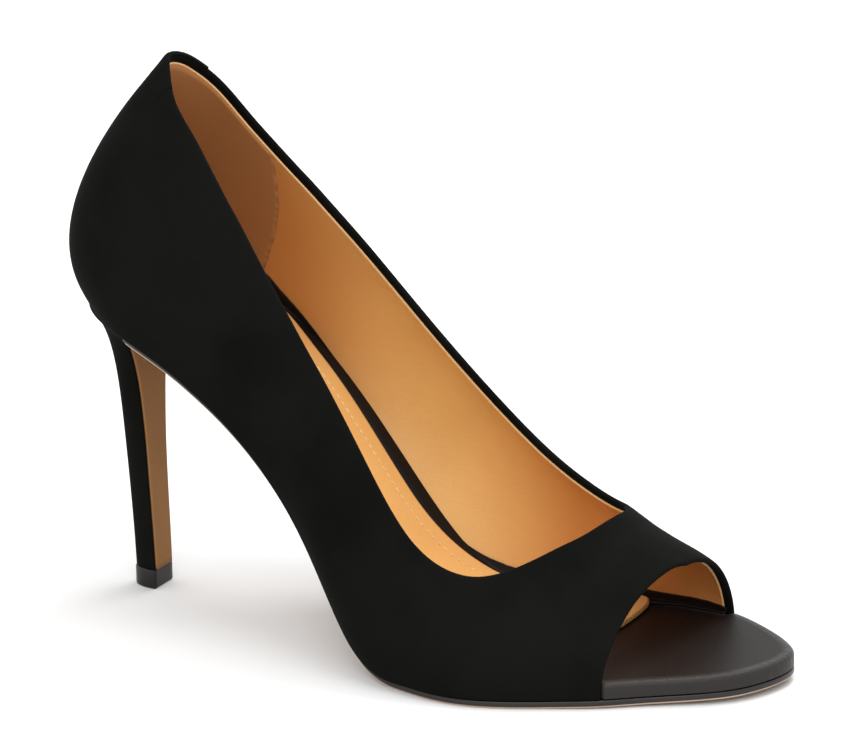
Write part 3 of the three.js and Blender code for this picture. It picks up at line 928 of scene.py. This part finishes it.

# %% [markdown]
# ## The stitches
# One line of cream thread runs round the sock a little inside its edge. The holes are pricked
# first, so each stitch dips into a hole at both ends; each hole is a flat dark bead, painted shade
# for the hollow. Geometry Nodes walks a line, puts a bead of thread on each step and turns it
# along the line.

# %% Nodes that sew along a line


def sewing_nodes():
    group = bpy.data.node_groups.new("sewing", "GeometryNodeTree")
    face = group.interface
    face.new_socket(name="Line", in_out="INPUT", socket_type="NodeSocketGeometry")
    for name, value in (("Pitch", 0.0023), ("Length", 0.0013), ("Width", 0.0005), ("Height", 0.0004),
                        ("Forward", 0.0), ("Unevenness", 0.06)):
        face.new_socket(name=name, in_out="INPUT", socket_type="NodeSocketFloat").default_value = value
    face.new_socket(name="Seed", in_out="INPUT", socket_type="NodeSocketInt").default_value = 3
    face.new_socket(name="Thread", in_out="INPUT", socket_type="NodeSocketMaterial")
    face.new_socket(name="Sewn", in_out="OUTPUT", socket_type="NodeSocketGeometry")

    def node(kind, inputs, **settings):
        """A node with its settings and inputs, given by name or by place; returns its outputs."""
        made = group.nodes.new(kind)
        for key, value in settings.items():
            setattr(made, key, value)
        for key, value in inputs.items():
            if hasattr(value, "is_output"):
                group.links.new(value, made.inputs[key])
            else:
                made.inputs[key].default_value = value
        return made.outputs

    given = group.nodes.new("NodeGroupInput").outputs
    uneven = given["Unevenness"]
    curve = node("GeometryNodeMeshToCurve", {"Mesh": given["Line"]})
    points = node("GeometryNodeCurveToPoints", {"Curve": curve[0], "Length": given["Pitch"]}, mode="LENGTH")
    level = node("FunctionNodeAlignRotationToVector", {"Vector": points["Tangent"]}, axis="X", pivot_axis="Z")
    along = node("FunctionNodeAlignRotationToVector", {"Rotation": level[0], "Vector": points["Tangent"]},
                 axis="X")
    size = node("ShaderNodeCombineXYZ", {"X": given["Length"], "Y": given["Width"], "Z": given["Height"]})
    low = node("ShaderNodeMath", {0: 1.0, 1: uneven}, operation="SUBTRACT")
    high = node("ShaderNodeMath", {0: 1.0, 1: uneven}, operation="ADD")
    chance = node("FunctionNodeRandomValue", {2: low[0], 3: high[0], "Seed": given["Seed"]},
                  data_type="FLOAT")
    varied = node("ShaderNodeVectorMath", {0: size[0], "Scale": chance[1]}, operation="SCALE")
    bead = node("GeometryNodeMeshIcoSphere", {"Radius": 0.5, "Subdivisions": 3})
    sewn = node("GeometryNodeInstanceOnPoints", {"Points": points["Points"], "Instance": bead[0],
                                                 "Rotation": along[0], "Scale": varied[0]})
    step = node("ShaderNodeCombineXYZ", {"X": given["Forward"]})
    moved = node("GeometryNodeTranslateInstances", {"Instances": sewn[0], "Translation": step[0]})
    real = node("GeometryNodeRealizeInstances", {"Geometry": moved[0]})
    shaded = node("GeometryNodeSetShadeSmooth", {"Geometry": real[0]})
    painted = node("GeometryNodeSetMaterial", {"Geometry": shaded[0], "Material": given["Thread"]})
    group.links.new(painted[0], group.nodes.new("NodeGroupOutput").inputs["Sewn"])
    return group


sewing = sewing_nodes()


def sew(name, line, slot, **values):
    """A row of beads along a line of points in millimetres, as one plain mesh."""
    mesh = bpy.data.meshes.new(name + "_line")
    mesh.from_pydata(((line + shift) / 1000).tolist(), [(k, k + 1) for k in range(len(line) - 1)], [])
    guide = bpy.data.objects.new(name + "_line", mesh)
    bpy.context.scene.collection.objects.link(guide)
    modifier = guide.modifiers.new("sewing", "NODES")
    modifier.node_group = sewing
    for item in sewing.interface.items_tree:
        if item.in_out == "INPUT" and item.name in values:
            modifier[item.identifier] = values[item.name]
    seen = guide.evaluated_get(bpy.context.evaluated_depsgraph_get())
    made = bpy.data.meshes.new_from_object(seen)
    made.name = name
    guide.modifiers.remove(modifier)
    bpy.data.objects.remove(guide)
    piece = bpy.data.objects.new(name, made)
    bpy.context.scene.collection.objects.link(piece)
    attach(piece, "root")
    print(f"{name}: {len(made.polygons)} faces")


# %% The sock's seam
thread = Finish("cream_thread", Base_Color=(0.68, 0.48, 0.24, 1), Roughness=0.6, Specular_IOR_Level=0.3)
# The hole colour is painted shade inside the pricked holes.
hole_shade = Finish("pricked_hole_shade", Base_Color=(0.16, 0.066, 0.018, 1), Roughness=0.9, Specular_IOR_Level=0.1)
seam_inset = 5.6
pitch = 2.35


def seam():
    line = level_inset(sock_base, seam_inset)
    reach = np.min(np.linalg.norm(line[:, None, :2] - sock_base[None, :, :2], axis=2), 1)
    line = line[(reach > seam_inset - 0.2) & (np.linalg.norm(line - np.roll(line, 1, 0), axis=1) > 0.05)]
    line[:, 2] = feather(line[:, 0]) + sock_face(line[:, 0])
    return np.vstack([line, line[:1]])


seam_line = seam()
sew("sock_stitches", seam_line + (0, 0, 0.06), "sock_leather", Pitch=pitch / 1000, Length=0.00145,
    Width=0.00048, Height=0.00036, Unevenness=0.07, Seed=3, Thread=thread.material)
# Painted shade: flat dark beads between the stitches stand for the shade inside the pricked holes.
sew("sock_holes", seam_line - (0, 0, 0.01), "sock_leather", Pitch=pitch / 1000, Length=0.0006,
    Width=0.00055, Height=0.00016, Forward=pitch / 2000, Unevenness=0.1, Seed=8,
    Thread=hole_shade.material)

# %% [markdown]
# ## The heel
# A slim block with a flat front, covered in suede from the back, with a leather strip on the
# front and a hard tip. Rings from the floor to the seat carry its section; near the top each
# ring flares until it follows the seat's outline.

# %% Rings of the heel
tip_length = 8
tip_width = 9.2
tip_height = 5.5
tip_place = 18
heel_rows = np.array([
    # up, front, behind, half, follow
    (0, 4, -3.9, 4.5, 0), (0.12, 3.7, -4.3, 4.7, 0), (0.25, 3.3, -4.9, 4.9, 0),
    (0.38, 2.9, -5.6, 5.2, 0), (0.50, 2.6, -6.3, 5.6, 0), (0.62, 2.3, -7.0, 6.4, 0),
    (0.72, 2.0, -7.8, 7.4, 0), (0.80, 1.6, -8.7, 8.7, 0), (0.87, 1.3, -9.8, 10.4, 0.04),
    (0.92, 1.8, -11.2, 12.4, 0.16), (0.96, 3.2, -13.4, 16, 0.45), (1, 8, -18, 24, 1)])
ring_points = 48
front_cells = 8
roundness = 0.9
ring_share = np.linspace(0, 1, ring_points + 1)
seat_inset = 1.1
seat_to_arch = np.linspace(10, 6, 2000)
corner = float(np.interp(breast_place, outline(seat_to_arch, 0)[:, 0], seat_to_arch))


def slim_ring(front, deep, half):
    """A section with a flat front and a round back."""
    a = math.pi * ring_share
    x = front - deep * np.sin(a) ** roundness
    y = -half * np.sign(np.cos(a)) * np.abs(np.cos(a)) ** roundness
    return x, y


def heel_height(x, up):
    """Height at a share of the way from the tip to the seat."""
    return tip_height + gap + (feather(x) - gap - tip_height - gap) * up


def heel_ring(row):
    up, front, behind, half, follow = row
    seat = outline(corner + (turn - 2 * corner) * ring_share, seat_inset)
    x, y = slim_ring(tip_place + front, front - behind, half)
    px = x + (seat[:, 0] - x) * follow
    py = y + (seat[:, 1] - y) * follow
    return np.stack([px, py, heel_height(px, up)], -1)


heel_places = np.concatenate([np.linspace(0, 8, 40), np.linspace(8.1, len(heel_rows) - 1, 40)])
fine_rows = through(heel_rows, heel_places)
fine_rows[:, 4] = np.clip(fine_rows[:, 4], 0, 1)
fine_rows[:, 0] = np.clip(fine_rows[:, 0], 0, 1)
heel_rings = np.array([heel_ring(r) for r in fine_rows])


def front_of(rings):
    return filled(rings[:, -1], rings[:, 0], front_cells)


heel_front = front_of(heel_rings)
heel_front[..., 2] = heel_height(heel_front[..., 0], fine_rows[:, :1])


def cap(ring_line):
    half = ring_points // 2
    return filled(ring_line[:half + 1], ring_line[half:][::-1], front_cells)


heel_top = cap(heel_rings[-1])
heel_top[..., 2] = feather(heel_top[..., 0]) - gap
build("heel_cover", [heel_rings, heel_front, heel_top, cap(heel_rings[0])],
      suede_finish, ("heel",))

# %% The leather strip on the heel's front
strip_inset = 0.45
strip_thickness = 0.75
strip_ends = 0.985
strip_layers = ((0.02, 0.0), (strip_thickness - 0.3, 0.0),
                (strip_thickness - 0.08, 0.1), (strip_thickness, 0.35))


def strip():
    """Layers of the strip from the heel outwards, the last ones drawn in at their edges."""
    rows = heel_front[fine_rows[:, 0] < strip_ends]
    run = unit(np.gradient(rows[:, 4], axis=0))
    forward = np.stack([run[:, 2], 0 * run[:, 0], -run[:, 0]], -1)
    lines = []
    for lift, tuck in strip_layers:
        line = rows + forward[:, None] * lift
        low = rows[:, 0, 1] - strip_inset - tuck
        high = rows[:, -1, 1] + strip_inset + tuck
        line[..., 1] = low[:, None] + (high - low)[:, None] * np.linspace(0, 1, rows.shape[1])[None]
        lines.append(line)
    return lines


build("heel_breast_leather", closed(strip()), breast_finish, ("heel_breast",))

# %% The tip
tip_over = 0.15
tip_rows = ((-0.5, 0), (-0.25, 0.06), (-0.08, 0.25), (0, 0.6), (0, tip_height - 0.4),
            (-0.08, tip_height - 0.12), (-0.3, tip_height))


def tip_ring(grow, z):
    front = tip_place + tip_length / 2 + tip_over + grow
    x, y = slim_ring(front, tip_length + 2 * tip_over + 2 * grow, tip_width / 2 + tip_over + grow)
    return np.stack([x, y, 0 * x + z], -1)


tip_rings = np.array([tip_ring(grow, z) for grow, z in tip_rows])
build("heel_tip", [tip_rings, front_of(tip_rings), cap(tip_rings[0]), cap(tip_rings[-1])],
      tip_finish, ("top_piece",))

# %% [markdown]
# ## The tab at the back of the collar
# A short suede tab wraps the fold at the back. It is about half a millimetre thick and shows as
# a step in the collar's outline on the inner side; toward the outer side it thins out.

# %% The tab
tab_from = 8.95
tab_thickness = 0.45
tab_lift = 0.03
tab_drop = 0.062
tab_fades = (9.2, 10.2)
tab_wrap = math.pi * 0.62
skived = 0.06


def tab_face(thickness):
    radius = suede_thickness / 2
    rim = collar.at(radius)
    use = (rim[:, 0] >= tab_from) & (rim[:, 0] <= turn - tab_from)
    t, high = rim[use].T
    n, inwards = (d[use] for d in collar.directions(rim))
    bulk = thickness * (skived + (1 - skived) * smooth(t, *tab_fades))
    rows = [under(t, high - tab_drop * (1 - f), -tab_lift - bulk * (skived + (1 - skived) * f * f))
            for f in np.linspace(0, 1, 16)]
    centre = last(t, high) - n * radius
    for a in np.linspace(0, tab_wrap, 8)[1:]:
        rows.append(centre + (radius + tab_lift + bulk)[:, None] * (math.cos(a) * n - math.sin(a) * inwards))
    return np.array(rows)


build("back_tab_suede", closed([tab_face(0.0), tab_face(tab_thickness)]), tab_finish,
      ("back_tab",))

# %% [markdown]
# ## Floor, light and camera
# The shoe stands on a pale floor in soft studio light, seen from its outer side and a little
# above. The camera is far away with a long lens, as for a catalogue picture.

# %% The floor
floor_mesh = bpy.data.meshes.new("floor")
size = 6.0
corners = [(-size, -size, 0), (size, -size, 0), (size, size, 0), (-size, size, 0)]
floor_mesh.from_pydata(corners, [], [(0, 1, 2, 3)])
floor = bpy.data.objects.new("floor", floor_mesh)
bpy.context.scene.collection.objects.link(floor)
floor_look = Finish("pale_floor", Base_Color=(0.62, 0.62, 0.62, 1), Roughness=0.8, Specular_IOR_Level=0.1)
floor_mesh.materials.append(floor_look.material)

# %% The camera
turned, raised, tilted = math.radians(28.15), math.radians(17.98), math.radians(-0.84)
far = 2.0
pixels_per_mm = 3.69
aim = Vector((119.99 + shift[0], 17.29 + shift[1], 76.29)) / 1000
image_width = 868
level = math.cos(raised)
behind = Vector((math.sin(turned) * level, -math.cos(turned) * level, math.sin(raised)))
across = Vector((math.cos(turned), math.sin(turned), 0))
upright = behind.cross(across)
right = across * math.cos(tilted) + upright * math.sin(tilted)
top = upright * math.cos(tilted) - across * math.sin(tilted)
sweep = pixels_per_mm * far * 1000
pan_right, pan_up = 66, -22
pan = Matrix.Rotation(math.atan(pan_right / sweep), 3, "Y")
rise = Matrix.Rotation(math.atan(pan_up / sweep), 3, "X")
basis = Matrix((right, top, behind)).transposed() @ pan @ rise
camera_data = bpy.data.cameras.new("camera")
camera_data.sensor_width = 36
camera_data.lens = sweep / image_width * camera_data.sensor_width
camera_data.clip_end = 20
camera = bpy.data.objects.new("camera", camera_data)
camera.matrix_world = Matrix.Translation(aim + behind * far) @ basis.to_4x4()
bpy.context.scene.collection.objects.link(camera)
bpy.context.scene.camera = camera
print("lens", round(camera_data.lens, 1), "mm")

# %% The lights


def soft_light(name, place, size, power, toward=(0, 0, 0.06)):
    data = bpy.data.lights.new(name, "AREA")
    data.shape = "DISK"
    data.size = size
    data.energy = power
    lamp = bpy.data.objects.new(name, data)
    turn_to = (Vector(place) - Vector(toward)).to_track_quat("Z", "Y")
    lamp.matrix_world = Matrix.Translation(place) @ turn_to.to_matrix().to_4x4()
    bpy.context.scene.collection.objects.link(lamp)


soft_light("key", (0.25, 0.8, 1.75), 0.9, 15)
soft_light("fill", (0.7, -1.5, 1.3), 1.2, 14)
soft_light("over", (0.25, -0.1, 2.0), 1.0, 16)
world = bpy.context.scene.world or bpy.data.worlds.new("studio")
bpy.context.scene.world = world
world.use_nodes = True
world.node_tree.nodes["Background"].inputs["Color"].default_value = (1, 1, 1, 1)
world.node_tree.nodes["Background"].inputs["Strength"].default_value = 1.35
bpy.context.scene.view_settings.view_transform = "Standard"
print("three soft lights")
